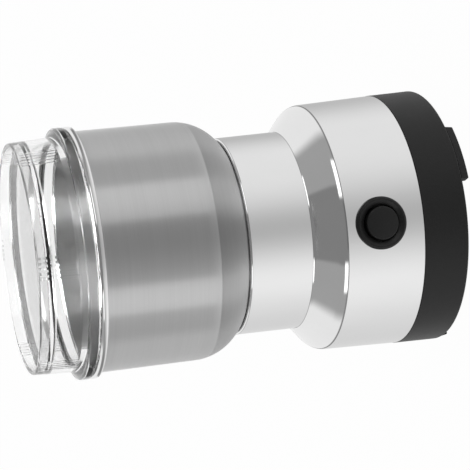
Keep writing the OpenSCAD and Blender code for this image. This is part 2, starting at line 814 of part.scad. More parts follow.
// Two-wing blade with pitched wings, clamped by a nut
tip_rise = 6;
tip_l = 9;
tip_start_share = 0.25;
tip_end_share = 0.6;
wing_root_inset = 1.5;
blade_hub_wall = 0.5;
module blade_wing() {
    wing_l = blade_span / 2 - tip_l;
    rotate([blade_pitch, 0, 0])
        translate([0, -blade_w / 2, 0]) {
            linear_extrude(blade_t)
                polygon([[shaft_r, wing_root_inset], [wing_l, 0], [wing_l, blade_w],
                    [shaft_r, blade_w - wing_root_inset]]);
            translate([wing_l, 0, 0])
                rotate([0, -atan(tip_rise / tip_l), 0])
                    translate([-blade_t / 4, 0, 0])
                        linear_extrude(blade_t)
                            polygon([[0, 0], [tip_l, blade_w * tip_start_share],
                                [tip_l, blade_w * tip_end_share], [0, blade_w]]);
        }
}
module blade() {
    hub_r = blade_w / 2 + blade_hub_wall;
    color("#c4c6c9")
        difference() {
            translate([0, 0, z_blade]) {
                cylinder(r = hub_r, h = blade_t);
                blade_wing();
                rotate([0, 0, 180])
                    blade_wing();
            }
            translate([0, 0, z_blade - blade_w])
                cylinder(r = thread_r + press_gap, h = 2 * blade_w);
            translate([0, 0, z_blade + blade_t])
                cylinder(r = hub_r, h = blade_w);
            translate([0, 0, z_blade - blade_w])
                cylinder(r = hub_r, h = blade_w);
        }
}
spacer_wall = 2.4;
module blade_spacer() {
    color("#9a9b9d")
        translate([0, 0, z_blade - spacer_h])
            ring(shaft_r + spacer_wall, shaft_r + press_gap, spacer_h - press_gap);
}
nut_d = 11;
module blade_nut() {
    color("#c9cacc")
        translate([0, 0, z_blade + blade_t + press_gap])
            difference() {
                cylinder(d = nut_d, h = nut_h, $fn = 6);
                translate([0, 0, -over])
                    cylinder(r = thread_r + press_gap, h = nut_h + 2 * over);
            }
}

// Standing parts of the motor
stator_round = 12;
coil_gap = 0.3;
yoke_side_t = 9.5;
window_half = stator_l / 2 - yoke_side_t;
pole_half = window_half - coil_t - 2 * coil_gap;
shoe_t = 2.3;
bore_r = armature_d / 2 + air_gap;
coil_nest = 1.3;
yoke_t = 5.3;
coil_x = bore_r + shoe_t - coil_nest;
coil_w = stator_w / 2 - yoke_t - coil_gap - coil_x;
coil_round_share = 0.7;
mouth_h = 2;
module stator_core() {
    color("#7c7e82")
        translate([0, 0, z_stack])
            linear_extrude(stack_h)
                difference() {
                    translate([-stator_w / 2, -stator_l / 2])
                        rounded_square(stator_w, stator_l, stator_round);
                    circle(r = bore_r);
                    difference() {
                        translate([-coil_x - coil_w - coil_gap, -window_half])
                            square([2 * (coil_x + coil_w + coil_gap), 2 * window_half]);
                        translate([-stator_w / 2, -pole_half])
                            square([stator_w, 2 * pole_half]);
                        circle(r = bore_r + shoe_t);
                    }
                    for (y = [-window_half, window_half - mouth_h])
                        translate([-bore_r, y])
                            square([2 * bore_r, mouth_h]);
                    for (x = [-bolt_x, bolt_x], y = [-bolt_y, bolt_y])
                        translate([x, y])
                            circle(d = bolt_d + 2 * screw_gap);
                }
}
module rounded_square(w, l, r) {
    polygon(rounded([[0, 0, r], [w, 0, r], [w, l, r], [0, l, r]]));
}
module field_coils() {
    inner_w = 2 * (pole_half + coil_gap);
    inner_h = stack_h + 2 * coil_gap;
    outer_w = inner_w + 2 * coil_t;
    outer_h = inner_h + 2 * coil_over;
    color("#a85c2a")
        for (side = [-1, 1])
            on_side(side)
                translate([coil_x, -outer_w / 2, (z_stack + z_stack_top) / 2 - outer_h / 2])
                    rotate([90, 0, 90])
                        linear_extrude(coil_w)
                            difference() {
                                rounded_square(outer_w, outer_h, coil_t * coil_round_share);
                                translate([coil_t, coil_over])
                                    square([inner_w, inner_h]);
                            }
}
bracket_w = 50;
bracket_l = 46;
bracket_round = 6;
module bracket_plate() {
    linear_extrude(bracket_t)
        translate([-bracket_w / 2, -bracket_l / 2])
            rounded_square(bracket_w, bracket_l, bracket_round);
}
module bolt_places() {
    for (x = [-bolt_x, bolt_x], y = [-bolt_y, bolt_y])
        translate([x, y, 0])
            children();
}
module motor_top_bracket() {
    color("#b4b6b9")
        difference() {
            union() {
                translate([0, 0, z_bracket]) {
                    bracket_plate();
                    cylinder(r = pocket_r, h = pocket_h);
                }
                bolt_places()
                    translate([0, 0, z_stack_top + seat_gap])
                        cylinder(d = post_d, h = z_bracket - z_stack_top - seat_gap + bracket_t / 2);
            }
            translate([0, 0, z_bracket - over])
                cylinder(r = bearing_d / 2 + press_gap, h = over + bearing_h + press_gap);
            translate([0, 0, z_bracket])
                cylinder(r = shaft_r + pocket_end, h = pocket_h + over);
            bolt_places()
                translate([0, 0, z_stack_top])
                    cylinder(d = bolt_d + 2 * press_gap, h = z_mount - z_stack_top + over);
            around(bowl_screw_count, 90)
                translate([bowl_screw_r, 0, z_bracket - over])
                    cylinder(d = screw_d + 2 * press_gap, h = bracket_t + 2 * over);
        }
}
bracket_vent_d = 9;
bracket_vent_at = 16;
module motor_bottom_bracket() {
    color("#b4b6b9")
        difference() {
            union() {
                translate([0, 0, z_low_bracket]) {
                    bracket_plate();
                    cylinder(r = pocket_r, h = pocket_h);
                }
                bolt_places()
                    translate([0, 0, z_low_bracket_top - bracket_t / 2])
                        cylinder(d = post_d, h = low_post_l + bracket_t / 2 - seat_gap);
            }
            translate([0, 0, z_low_bracket - over])
                cylinder(r = bearing_d / 2 + press_gap, h = over + bearing_h + press_gap);
            translate([0, 0, z_low_bracket])
                cylinder(r = shaft_r + pocket_end, h = pocket_h + over);
            bolt_places()
                translate([0, 0, z_low_bracket - over])
                    cylinder(d = bolt_d + 2 * press_gap, h = low_post_l + bracket_t + 2 * over);
            for (y = [-bracket_vent_at, bracket_vent_at])
                translate([0, y, z_low_bracket - over])
                    cylinder(d = bracket_vent_d, h = bracket_t + 2 * over);
        }
}
module bearing(z) {
    color("#a9926a")
        translate([0, 0, z])
            ring(bearing_d / 2, shaft_r + bearing_gap, bearing_h);
}
module upper_bearing() {
    bearing(z_bracket);
}
module lower_bearing() {
    bearing(z_low_bracket);
}
module motor_bolts() {
    color("#8f9093")
        bolt_places()
            translate([0, 0, z_low_bracket - seat_gap - bolt_head_h]) {
                cylinder(d = bolt_head_d, h = bolt_head_h, $fn = 6);
                translate([0, 0, bolt_head_h / 2])
                    cylinder(d = bolt_d, h = z_mount - z_low_bracket + bolt_head_h / 2);
            }
}
module rubber_mounts() {
    color("#1d1d1d")
        around(bowl_screw_count, 90)
            translate([bowl_screw_r, 0, z_mount + seat_gap / 2])
                ring(mount_d / 2, screw_d / 2 + screw_gap, mount_h - seat_gap);
}

// Brushes, one on each side of the commutator, in holders that stand on the bottom bracket
brush_w = 5;
brush_l = 11;
brush_gap = 0.3;
holder_wall = 1;
holder_l = 18;
holder_gap = 1.6;
holder_start = commutator_d / 2 + holder_gap;
module brush_pair() {
    for (side = [-1, 1])
        on_side(side)
            translate([0, 0, z_brush])
                children();
}
module brush_holders() {
    out_w = brush_w + 2 * holder_wall + 2 * coil_gap;
    in_w = brush_w + 2 * coil_gap;
    color("#c5a555")
        brush_pair()
            difference() {
                union() {
                    translate([holder_start, -out_w / 2, -out_w / 2])
                        cube([holder_l, out_w, out_w]);
                    translate([holder_start, -out_w / 2, z_low_bracket_top + press_gap - z_brush])
                        cube([bracket_w / 2 - holder_start, out_w, z_brush - z_low_bracket_top]);
                }
                translate([holder_start - over, -in_w / 2, -in_w / 2])
                    cube([holder_l + over - holder_wall, in_w, in_w]);
            }
}
module carbon_brushes() {
    color("#3d3d40")
        brush_pair()
            translate([commutator_d / 2 + brush_gap, -brush_w / 2, -brush_w / 2])
                cube([brush_l, brush_w, brush_w]);
}
brush_spring_turns = 5;
brush_spring_steps = 10;
module brush_springs() {
    start = commutator_d / 2 + brush_gap + brush_l + seat_gap + spring_wire;
    end = holder_start + holder_l - holder_wall - seat_gap - spring_wire;
    color("#a8a8a8")
        brush_pair()
            translate([start, 0, 0])
                rotate([0, 90, 0])
                    helix(brush_w / 2 - spring_wire, spring_wire / 2, brush_spring_turns,
                        (end - start) / brush_spring_turns, brush_spring_steps);
}

// Electrics
block_w = 20;
block_l = 9;
block_h = 9;
block_poles = 2;
block_y = (fan_d / 2 + base_in_r - block_l) / 2;
block_hole_d = 3;
module terminal_block() {
    pole = block_w / block_poles;
    color("#e6e3da")
        translate([-block_w / 2, block_y, z_floor + seat_gap])
            difference() {
                cube([block_w, block_l, block_h]);
                for (i = [0:block_poles - 1])
                    translate([(i + 0.5) * pole, 0, 0]) {
                        translate([0, -over, block_h / 3])
                            rotate([-90, 0, 0])
                                cylinder(d = block_hole_d, h = block_l + 2 * over);
                        translate([0, block_l / 2, block_h / 2])
                            cylinder(d = block_hole_d, h = block_h);
                    }
            }
}
cap_w = 6;
cap_l = 15;
cap_h = 11;
cap_x = -(fan_d / 2 + base_in_r + cap_w) / 2;
module suppression_capacitor() {
    color("#c9b04a")
        translate([cap_x, -cap_l / 2, z_floor + seat_gap])
            cube([cap_w, cap_l, cap_h]);
}
cutout_d = 4;
cutout_l = 11;
module thermal_cutout() {
    z_coil_top = z_stack_top + coil_gap + coil_over;
    color("#d9d4c4")
        translate([coil_x + coil_w / 2, -cutout_l / 2, z_coil_top + seat_gap + cutout_d / 2])
            rotate([-90, 0, 0])
                cylinder(d = cutout_d, h = cutout_l);
}
// Insulated wires: they run round the motor, between its posts and the screw bosses
wire_ring_r = base_screw_r - base_post_d / 2 - seat_gap - wire_d / 2;
wire_joint_share = 0.55;
wire_step_share = 1.3;
coil_tail_y = 8;
riser_angle = 18;
z_wire = z_low_bracket_top + wire_d;
z_wire_over = z_wire + wire_d * wire_step_share;
z_tail = z_stack - coil_gap - coil_over / 2;
module wire_straight(from, to) {
    run = to - from;
    length = norm(run);
    translate(from)
        rotate([0, acos(run[2] / length), atan2(run[1], run[0])])
            cylinder(d = wire_d, h = length);
    translate(to)
        sphere(r = wire_d * wire_joint_share);
}
module wire_path(points) {
    translate(points[0])
        sphere(r = wire_d * wire_joint_share);
    for (i = [0:len(points) - 2])
        wire_straight(points[i], points[i + 1]);
}
module wire_arc(z, first, sweep) {
    translate([0, 0, z])
        rotate([0, 0, first])
            rotate_extrude(angle = sweep)
                translate([wire_ring_r, 0])
                    circle(d = wire_d);
}
function on_ring(a, z) = [wire_ring_r * cos(a), wire_ring_r * sin(a), z];
// From a pole of the terminal block up to the ring
module block_tail(x, z) {
    y_up = block_y - wire_d;
    z_hole = z_floor + seat_gap + block_h / 3;
    wire_path([[x, block_y + over, z_hole], [x, y_up, z_hole], [x, y_up, z],
        [x, sqrt(pow(wire_ring_r, 2) - pow(x, 2)), z]]);
}
module lead_wires() {
    pole_x = block_w / block_poles / 2;
    entry = asin(pole_x / wire_ring_r);
    tab_turn = asin(switch_w / 4 / wire_ring_r);
    tab_end = z_button + plunger_top - switch_h - tab_l - seat_gap - wire_d * wire_joint_share;
    coil_end = coil_x + coil_w + seat_gap + wire_d * wire_joint_share;
    holder_side = brush_w / 2 + holder_wall + coil_gap + seat_gap + wire_d * wire_joint_share;
    color("#7a2f2a") {
        // Block to switch
        union() {
            block_tail(-pole_x, z_wire);
            wire_arc(z_wire, 90 + entry, 180 - entry - tab_turn);
            wire_path([on_ring(270 - tab_turn, z_wire), on_ring(270 - tab_turn, tab_end)]);
        }
        union() {
            wire_path([on_ring(270 + tab_turn, tab_end), on_ring(270 + tab_turn, z_wire)]);
            wire_arc(z_wire, 270 + tab_turn, 90 - tab_turn - riser_angle);
            wire_path([on_ring(-riser_angle, z_wire), on_ring(-riser_angle, z_tail),
                [coil_end, -coil_tail_y, z_tail]]);
        }
        union() {
            block_tail(pole_x, z_wire_over);
            wire_arc(z_wire_over, 90 - entry, 90 + entry - riser_angle);
            wire_path([on_ring(180 - riser_angle, z_wire_over), on_ring(180 - riser_angle, z_tail),
                [-coil_end, coil_tail_y, z_tail]]);
        }
        for (turn = [0, 180])
            rotate([0, 0, turn])
                wire_path([[coil_end, coil_tail_y, z_tail], [coil_end, coil_tail_y, z_brush],
                    [coil_end, holder_side, z_brush]]);
    }
}

feet();
base_cover();
base_screws();
cord_bush();
housing_shell();
bowl();
bowl_gasket();
bowl_screws();
shaft_seal();
lid();
button_bezel();
button_cap();
button_spring();
switch_body();
switch_plunger();
switch_terminals();
motor_shaft();
armature_core();
armature_windings();
commutator();
cooling_fan();
shaft_clip();
thrust_washers();
blade();
blade_spacer();
blade_nut();
stator_core();
field_coils();
motor_top_bracket();
motor_bottom_bracket();
upper_bearing();
lower_bearing();
motor_bolts();
rubber_mounts();
brush_holders();
carbon_brushes();
brush_springs();
terminal_block();
suppression_capacitor();
thermal_cutout();
lead_wires();
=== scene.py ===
import math

import bmesh
import bpy
from mathutils import Matrix, Vector


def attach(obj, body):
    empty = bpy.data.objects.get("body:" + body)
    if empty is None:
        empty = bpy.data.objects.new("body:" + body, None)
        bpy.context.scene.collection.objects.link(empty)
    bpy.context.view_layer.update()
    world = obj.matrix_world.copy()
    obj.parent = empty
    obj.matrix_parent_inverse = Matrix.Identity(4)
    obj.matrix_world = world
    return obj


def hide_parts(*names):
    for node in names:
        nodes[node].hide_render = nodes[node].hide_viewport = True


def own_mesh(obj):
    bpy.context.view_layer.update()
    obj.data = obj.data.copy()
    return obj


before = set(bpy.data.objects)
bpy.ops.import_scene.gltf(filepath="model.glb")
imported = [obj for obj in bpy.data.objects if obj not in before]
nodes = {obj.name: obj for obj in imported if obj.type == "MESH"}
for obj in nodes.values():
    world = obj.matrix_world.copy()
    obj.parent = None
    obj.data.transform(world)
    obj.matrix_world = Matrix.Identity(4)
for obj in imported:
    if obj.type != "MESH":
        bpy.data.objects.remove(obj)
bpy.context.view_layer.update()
scene = bpy.context.scene
scene.view_settings.view_transform = "Standard"
scene.cycles.max_bounces = 24
scene.cycles.glossy_bounces = 16
scene.cycles.transmission_bounces = 24
MM = 0.001

# Sizes of the grinder in millimetres, from the surface that it stands on
Z_BASE = 2.9
Z_FLOOR = 5.5
Z_BAND = 19.7
Z_SHOULDER = 50.5
Z_COVE = 58.22
Z_LIP = 82.5
Z_DECK = 79.2
Z_BOWL = 79.4
Z_RIM = 138.6
Z_LID = 138.8
Z_LID_TOP = 159.2
Z_BUTTON = 35.8
Z_CORD = 11.1
BASE_R = 48.1
BASE_TOP_R = 47.7
BASE_IN_R = 45.3
HOUSING_R = 47.6
SHOULDER_R = 46.5
NECK_R = 37.3
NECK_TOP_R = 37.0
HOUSING_WALL = 2.0
BOWL_R = 44.5
BOWL_WALL = 0.7
BOWL_ROUND = 19.0
RIM_R = 46.4
SEAT_GAP = 0.2
SHEET_T = 0.5
WINDING_T = 0.45
AROUND = 256


# The camera stands where the photographer's did: the picture is turned a quarter, so the lid points left
PICTURE = 470
LENS_PIXELS = 1692.1
SENSOR = 36.0
STAND_OFF = 634.9
LOOK_DOWN = math.radians(14.746)
WALK_ROUND = math.radians(1.6)
PICTURE_TURN = math.radians(6.329)
ORBIT_HEIGHT = 83.5
AIM = Vector((0.17, 0.0, 77.1))


def place_camera():
    data = bpy.data.cameras.new("camera")
    data.sensor_width = SENSOR
    data.lens = LENS_PIXELS * SENSOR / PICTURE
    data.clip_start = 0.05
    data.clip_end = 20
    walk = Matrix.Rotation(WALK_ROUND, 3, "Z")
    eye = Vector((0, -STAND_OFF * math.cos(LOOK_DOWN), ORBIT_HEIGHT + STAND_OFF * math.sin(LOOK_DOWN)))
    ahead = (walk @ (AIM - eye)).normalized()
    across = ahead.cross(Vector((0, 0, 1))).normalized()
    upward = across.cross(ahead)
    right = -math.sin(PICTURE_TURN) * across - math.cos(PICTURE_TURN) * upward
    up = math.cos(PICTURE_TURN) * across - math.sin(PICTURE_TURN) * upward
    camera = bpy.data.objects.new("camera", data)
    turn = Matrix((right, up, -ahead)).transposed()
    camera.matrix_world = Matrix.Translation(walk @ eye * MM) @ turn.to_4x4()
    scene.collection.objects.link(camera)
    bpy.context.scene.camera = camera


place_camera()


class Wire:
    """A shader socket that takes part in Python expressions: each operator adds a Math node."""

    def __init__(self, finish, socket):
        self.finish = finish
        self.socket = socket

    def math(self, operation, *others):
        sockets = dict(enumerate((self, *others)))
        return self.finish.node("ShaderNodeMath", {"operation": operation}, sockets)

    def __add__(self, other):
        return self.math("ADD", other)

    def __radd__(self, other):
        return self + other

    def __sub__(self, other):
        return self.math("SUBTRACT", other)

    def __rsub__(self, other):
        return (self * -1) + other

    def __mul__(self, other):
        return self.math("MULTIPLY", other)

    def __rmul__(self, other):
        return self * other

    def __truediv__(self, other):
        return self.math("DIVIDE", other)

    def __pow__(self, other):
        return self.math("POWER", other)

    def __abs__(self):
        return self.math("ABSOLUTE")

    def fall(self, start, end):
        """1 up to start, 0 from end on, and smooth between them."""
        sockets = {"Value": self, "From Min": start, "From Max": end, "To Min": 1.0, "To Max": 0.0}
        return self.finish.node("ShaderNodeMapRange", {"interpolation_type": "SMOOTHSTEP"}, sockets)

    def rise(self, start, end):
        return 1 - self.fall(start, end)


class Finish:
    """One node tree: node() adds any node, and expressions on its outputs add the maths."""

    def __init__(self, owner):
        owner.use_nodes = True
        self.owner = owner
        self.tree = owner.node_tree
        self.tree.nodes.clear()

    def node(self, kind, settings=None, sockets=None, output=0):
        made = self.tree.nodes.new(kind)
        for key, value in (settings or {}).items():
            if key == "stops":
                self.set_stops(made.color_ramp, value)
            else:
                setattr(made, key, value)
        for key, value in (sockets or {}).items():
            self.feed(made.inputs[key], value)
        return Wire(self, made.outputs[output]) if made.outputs else None

    def set_stops(self, ramp, stops):
        while len(ramp.elements) < len(stops):
            ramp.elements.new(0.5)
        for element, (place, colour) in zip(ramp.elements, stops):
            element.position = place
            element.color = (*colour, 1)

    def feed(self, socket, value):
        if isinstance(value, Wire):
            self.tree.links.new(value.socket, socket)
        else:
            socket.default_value = value

    def spot(self, scale=(1, 1, 1)):
        """The object's own coordinates, in metres, times scale."""
        where = self.node("ShaderNodeTexCoord", output="Object")
        return self.node("ShaderNodeMapping", {"vector_type": "POINT"}, {"Vector": where, "Scale": scale})

    def stripes(self, axis, pitch, wander=0.00008):
        """Rounded ridges, one every pitch millimetres along an axis, that wander a little."""
        where = self.node("ShaderNodeTexCoord", output="Object")
        split = self.node("ShaderNodeSeparateXYZ", None, {0: where})
        along = Wire(self, split.socket.node.outputs["XYZ".index(axis)])
        bend = self.noise((90, 90, 90), 2, 0.5) * wander
        return abs(((along + bend) * (math.pi / (pitch * MM))).math("SINE"))

    def within(self, radius):
        """1 where the surface lies nearer to the axis than radius, in millimetres."""
        where = self.node("ShaderNodeTexCoord", output="Object")
        split = self.node("ShaderNodeSeparateXYZ", None, {0: where})
        x, y = (Wire(self, split.socket.node.outputs[i]) for i in range(2))
        return ((x * x + y * y) ** 0.5).math("LESS_THAN", radius * MM)

    def noise(self, scale, detail=3.0, roughness=0.5, distortion=0.0):
        sockets = {"Vector": self.spot(scale), "Scale": 1.0, "Detail": detail, "Roughness": roughness,
                   "Distortion": distortion}
        return self.node("ShaderNodeTexNoise", None, sockets)

    def tint(self, dark, light, share):
        sockets = {0: share, 6: (*dark, 1), 7: (*light, 1)}
        return self.node("ShaderNodeMix", {"data_type": "RGBA"}, sockets, 2)

    def hump(self, value, middle, width):
        """A bell of height 1 about middle."""
        off = (value - middle) / width
        return (off * off * -1).math("EXPONENT")

    def band(self, value, start, end, soft=1.5):
        """1 from start to end, with soft edges."""
        return value.rise(start - soft, start + soft) * value.fall(end - soft, end + soft)

    def bump(self, height, depth):
        sockets = {"Height": height, "Distance": depth, "Strength": 1.0}
        return self.node("ShaderNodeBump", None, sockets)

    def surface(self, **sockets):
        named = {key.replace("_", " "): value for key, value in sockets.items()}
        shader = self.node("ShaderNodeBsdfPrincipled", None, named)
        self.node("ShaderNodeOutputMaterial", None, {"Surface": shader})
        return self.owner


def new_finish(name):
    return Finish(bpy.data.materials.new(name))


def grey(level):
    return (level, level, level)


# Finishes that show
def polished_steel(name):
    """Mirror polish: faint wiping marks, and a little haze that comes and goes."""
    f = new_finish(name)
    haze = f.noise((60, 60, 25), 4, 0.6)
    wipes = f.noise((90, 90, 900), 3, 0.55)
    marks = f.noise((400, 400, 60), 5, 0.7)
    scratch = f.noise((150, 150, 4000), 2, 0.5)
    rough = 0.05 + haze * 0.05 + marks.rise(0.62, 0.8) * 0.03
    height = wipes * 0.5 + scratch * 0.2
    return f.surface(Base_Color=f.tint(grey(0.80), grey(0.86), haze), Metallic=1.0, Roughness=rough,
                     Normal=f.bump(height, 0.000004))


def brushed_steel():
    """Satin steel, brushed round the bowl, and rougher on its inside."""
    f = new_finish("brushed_steel")
    streaks = f.noise((25, 25, 5200), 4, 0.6)
    bands = f.noise((12, 12, 700), 3, 0.6)
    clouds = f.noise((45, 45, 30), 3, 0.5)
    colour = f.tint(grey(0.54), grey(0.68), streaks * 0.6 + bands * 0.4)
    rough = 0.27 + streaks * 0.1 + clouds * 0.06 + f.within(BOWL_R - BOWL_WALL / 2) * 0.17
    return f.surface(Base_Color=colour, Metallic=1.0, Roughness=rough,
                     Anisotropic=1.0, Anisotropic_Rotation=0.25,
                     Normal=f.bump(streaks * 0.7 + bands * 0.3, 0.00001))


def clear_plastic():
    """Clear moulded plastic with faint handling marks."""
    f = new_finish("clear_plastic")
    marks = f.noise((120, 120, 120), 4, 0.6)
    rough = 0.015 + marks.rise(0.6, 0.8) * 0.05
    ripple = f.noise((28, 28, 28), 2, 0.5)
    return f.surface(Base_Color=(0.97, 0.97, 0.97, 1), Roughness=rough, IOR=1.45, Transmission_Weight=1.0,
                     Normal=f.bump(ripple, 0.00003))


def black_plastic(name, level, rough, grain, depth):
    """Satin black moulding: a fine spark-eroded grain, dust and rubbed spots."""
    f = new_finish(name)
    spark = f.noise(grain, 2, 0.6)
    clouds = f.noise((70, 70, 70), 4, 0.6)
    rubbed = f.noise((260, 260, 260), 5, 0.7).rise(0.6, 0.78)
    colour = f.tint(grey(level), grey(level * 1.5), clouds * 0.6 + rubbed * 0.4)
    return f.surface(Base_Color=colour, Roughness=rough + clouds * 0.1 - rubbed * 0.08,
                     Specular_IOR_Level=0.35, Normal=f.bump(spark, depth))


def rubber(name, level):
    f = new_finish(name)
    grain = f.noise((2500, 2500, 2500), 2, 0.6)
    dust = f.noise((140, 140, 140), 5, 0.65)
    colour = f.tint(grey(level), grey(level * 2.2), dust.rise(0.45, 0.8))
    return f.surface(Base_Color=colour, Roughness=0.62 + dust * 0.2, Normal=f.bump(grain, 0.00004))


# Finishes of what lies inside
def worked_metal(name, dark, light, rough, marks, depth=0.00001):
    """Turned, drawn or stamped metal: marks gives the scale of its tool marks along each axis."""
    f = new_finish(name)
    tooling = f.noise(marks, 3, 0.55)
    tarnish = f.noise((130, 130, 130), 5, 0.6)
    nicks = f.noise((900, 900, 900), 3, 0.7).rise(0.66, 0.78)
    worn = rough + tarnish * 0.12 + tooling * 0.06 + nicks * 0.1
    return f.surface(Base_Color=f.tint(dark, light, tarnish * 0.6 + tooling * 0.4), Metallic=1.0,
                     Roughness=worn, Normal=f.bump(tooling - nicks * 0.5, depth))


def stacked_sheets(name):
    """Laminated core: thin steel sheets with lacquer between them, and rust in places."""
    f = new_finish(name)
    sheets = f.stripes("Z", SHEET_T)
    rust = f.noise((170, 170, 400), 5, 0.65).rise(0.56, 0.74)
    shade = f.tint(grey(0.12), grey(0.4), sheets)
    sockets = {0: rust * 0.6, 6: shade, 7: (0.2, 0.09, 0.04, 1)}
    colour = f.node("ShaderNodeMix", {"data_type": "RGBA"}, sockets, 2)
    return f.surface(Base_Color=colour, Metallic=0.9 - rust * 0.7, Roughness=0.42 + rust * 0.3,
                     Normal=f.bump(sheets, 0.00006))


def wound_copper(name, axis):
    """Enamelled wire: ridges a wire apart along one axis, with painted shade that darkens the colour in the
    grooves between turns, and varnish that has darkened unevenly.
    """
    f = new_finish(name)
    ridges = f.stripes(axis, WINDING_T, 0.0003)
    varnish = f.noise((210, 210, 210), 4, 0.6)
    # Painted shade: the colour follows the ridges, dark in the grooves between turns and light on their
    # crowns
    colour = f.tint((0.19, 0.05, 0.018), (0.62, 0.24, 0.09), ridges * 0.55 + varnish * 0.45)
    return f.surface(Base_Color=colour, Metallic=0.75, Roughness=0.28 + varnish * 0.2, Coat_Weight=0.35,
                     Normal=f.bump(ridges, 0.00016))


def moulding(name, dark, light, rough, grain=1600):
    """Coloured plastic: fine texture, flow marks and a little yellowing or dirt."""
    f = new_finish(name)
    texture = f.noise((grain, grain, grain), 2, 0.6)
    flow = f.noise((60, 60, 160), 4, 0.6)
    dirt = f.noise((230, 230, 230), 6, 0.7).rise(0.55, 0.8)
    return f.surface(Base_Color=f.tint(light, dark, flow * 0.5 + dirt * 0.5), Roughness=rough + dirt * 0.2,
                     Normal=f.bump(texture, 0.00002))


def pressed_carbon(name):
    f = new_finish(name)
    grain = f.noise((3200, 3200, 3200), 3, 0.7)
    wiped = f.noise((300, 300, 2600), 3, 0.5)
    return f.surface(Base_Color=f.tint(grey(0.012), grey(0.06), grain), Metallic=0.3,
                     Roughness=0.5 - wiped * 0.15, Normal=f.bump(grain, 0.00004))


# Geometry helpers: edges above SHARP stay sharp, and points nearer than DOUBLES metres are one
SHARP = math.radians(32)
DOUBLES = 0.000001


def draw_outline(bm, points, closed, step):
    """Draws corners (r, z, rounding) in the XZ plane and rounds each one."""
    corners = [bm.verts.new((r * MM, 0, z * MM)) for r, z, rounding in points]
    count = len(points)
    for i in range(count if closed else count - 1):
        bm.edges.new((corners[i], corners[(i + 1) % count]))
    for i, (r, z, rounding) in enumerate(points):
        if rounding:
            before, here, after = (Vector(points[k % count][:2]) for k in (i - 1, i, i + 1))
            turn = math.pi - (before - here).angle(after - here)
            bmesh.ops.bevel(bm, geom=[corners[i]], offset=rounding * math.tan(turn / 2) * MM,
                            offset_type="OFFSET", segments=max(3, math.ceil(math.degrees(turn) / step)),
                            profile=0.5, affect="VERTICES", material=-1)


def spun(points, closed=True, steps=AROUND, step=5):
    """A solid of revolution about Z from an outline of corners (r, z, rounding) in millimetres."""
    bm = bmesh.new()
    draw_outline(bm, points, closed, step)
    bmesh.ops.spin(bm, geom=bm.verts[:] + bm.edges[:], cent=(0, 0, 0), axis=(0, 0, 1), dvec=(0, 0, 0),
                   angle=math.tau, steps=steps, use_merge=True, use_duplicate=False)
    bmesh.ops.remove_doubles(bm, verts=bm.verts[:], dist=DOUBLES)
    bmesh.ops.recalc_face_normals(bm, faces=bm.faces[:])
    return bm


def rod(bm, radius, start, end, sides=48):
    """A closed cylinder between two points, in millimetres."""
    start, end = Vector(start), Vector(end)
    run = end - start
    place = Matrix.Translation((start + end) / 2 * MM) @ run.to_track_quat("Z", "Y").to_matrix().to_4x4()
    bmesh.ops.create_cone(bm, cap_ends=True, segments=sides, radius1=radius * MM, radius2=radius * MM,
                          depth=run.length * MM, matrix=place)


def block(bm, low, high, turn=0):
    """A box between two corners, in millimetres, turned about Z."""
    low, high = Vector(low), Vector(high)
    size = Matrix.Diagonal((*((high - low) * MM), 1))
    place = Matrix.Rotation(math.radians(turn), 4, "Z") @ Matrix.Translation((low + high) / 2 * MM) @ size
    bmesh.ops.create_cube(bm, size=1, matrix=place)


def bare(name, bm):
    """The bmesh as an object in the scene."""
    mesh = bpy.data.meshes.new(name)
    bm.to_mesh(mesh)
    bm.free()
    made = bpy.data.objects.new(name, mesh)
    scene.collection.objects.link(made)
    return made


def carve(bm, tool, operation="DIFFERENCE"):
    """The first bmesh with the second one cut out of it, joined to it or kept in common."""
    body = bare("body", bm)
    other = bare("tool", tool)
    change = body.modifiers.new("change", "BOOLEAN")
    change.operation = operation
    change.solver = "EXACT"
    change.object = other
    shown = body.evaluated_get(bpy.context.evaluated_depsgraph_get())
    result = bmesh.new()
    result.from_mesh(shown.to_mesh())
    shown.to_mesh_clear()
    for done in (body, other):
        mesh = done.data
        bpy.data.objects.remove(done)
        bpy.data.meshes.remove(mesh)
    return result


def finished(name, bm, finish, body, node, even=True):
    """Smooths the bmesh, keeps its sharp edges and sets the piece on its body in place of its node."""
    for face in bm.faces:
        face.smooth = True
    for edge in bm.edges:
        if len(edge.link_faces) == 2 and edge.calc_face_angle(0) > SHARP:
            edge.smooth = False
    made = bare(name, bm)
    made.data.materials.append(finish)
    if even:
        weigh = made.modifiers.new("even_normals", "WEIGHTED_NORMAL")
        weigh.mode = "FACE_AREA"
        weigh.keep_sharp = True
    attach(made, body)
    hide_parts(node)
    return made


# The polished housing: one shell with its deck, its screw bosses and the hole for the button
SLEEVE_R = 8.0
PRESS_GAP = 0.02
DECK_T = 2.7
SHAFT_HOLE_R = 11.3
Z_LIP_IN = 81.75
PARTING = 0.15
HOLE_FROM = -55
HOLE_TO = -40
BOSS_TURNS = (45, 135, 225, 315)
BOSS_AT = 38.4
BOSS_R = 4.0
BOSS_LOW = 23.9
BOSS_HIGH = 35.7
WEB_T = 3.0
WEB_END_R = 45.4
WEB_SUNK = 0.5
CONE_ANGLE = 40
SHOULDER_ROUND = 5.0
COVE_ROUND = 1.5


def boss_place(turn):
    """Where the screw boss at a turn about Z stands."""
    return Matrix.Rotation(math.radians(turn), 3, "Z") @ Vector((BOSS_AT, 0, 0))


